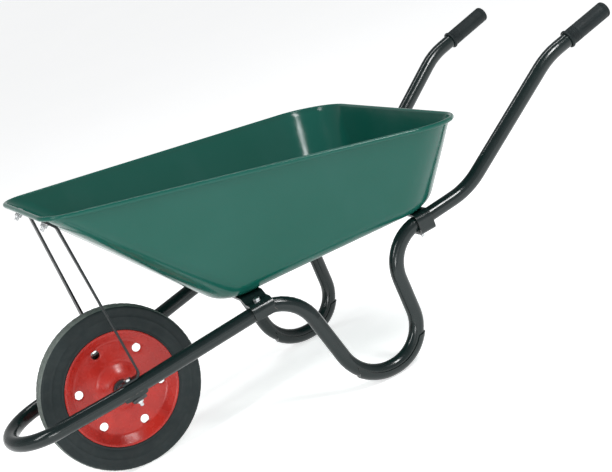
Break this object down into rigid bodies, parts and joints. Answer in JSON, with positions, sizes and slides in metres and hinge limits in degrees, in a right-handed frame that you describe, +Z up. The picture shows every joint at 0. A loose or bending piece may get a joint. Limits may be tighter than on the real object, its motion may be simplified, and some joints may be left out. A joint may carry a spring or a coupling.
{
  "type": "wheelbarrow",
  "caption": "Single-wheel garden wheelbarrow with a pressed steel tray on a bent tube frame, looped legs, grips and a solid-tyred disc wheel.",
  "frame": {"origin": "on the ground, midway along the barrow's length, on its centre plane", "axes": "+X from the wheel back to the handles, +Y to the barrow's right, +Z up"},
  "size_m": [1.511, 0.7113, 0.6092],
  "materials": {
    "tray_paint": "glossy green enamel",
    "frame_paint": "glossy green-black enamel",
    "stay_paint": "satin dark grey paint",
    "disc_paint": "glossy red enamel",
    "tyre_rubber": "matt black solid rubber",
    "grip_vinyl": "soft satin black vinyl",
    "zinc_plated_steel": "bright zinc plate",
    "axle_steel": "plain bright bar, lightly oiled",
    "hub_steel": "dark satin paint",
    "bush_nylon": "moulded black nylon"
  },
  "bodies": {
    "barrow": {"frame_tube": "frame_paint", "tray": "tray_paint", "front_cross_bar": "frame_paint", "rear_cross_bar": "frame_paint", "floor_bolts": "zinc_plated_steel", "floor_bolt_washers": "zinc_plated_steel", "floor_bolt_nuts": "zinc_plated_steel", "strap_bolts": "zinc_plated_steel", "strap_bolt_washers": "zinc_plated_steel", "strap_inserts": "zinc_plated_steel", "stay_bolts": "zinc_plated_steel", "stay_bolt_washers": "zinc_plated_steel", "stay_bolt_nuts": "zinc_plated_steel", "axle": "axle_steel", "axle_bolts": "zinc_plated_steel", "axle_bolt_washers": "zinc_plated_steel", "axle_bolt_nuts": "zinc_plated_steel", "collar_set_screws": "zinc_plated_steel", "left_grip": "grip_vinyl", "left_foot_shoe": "frame_paint", "left_front_stay": "stay_paint", "left_axle_saddle": "frame_paint", "left_axle_collar": "hub_steel", "right_grip": "grip_vinyl", "right_foot_shoe": "frame_paint", "right_front_stay": "stay_paint", "right_axle_saddle": "frame_paint", "right_axle_collar": "hub_steel"},
    "wheel": {"tyre": "tyre_rubber", "hub_tube": "hub_steel", "left_wheel_disc": "disc_paint", "right_wheel_disc": "disc_paint", "left_hub_bush": "bush_nylon", "right_hub_bush": "bush_nylon"}
  },
  "joints": [
    {"name": "wheel_spin", "type": "hinge", "parent": "barrow", "child": "wheel", "pos_m": [-0.4895, 0, 0.1775], "axis": [0, 1, 0], "continuous": true}
  ]
}
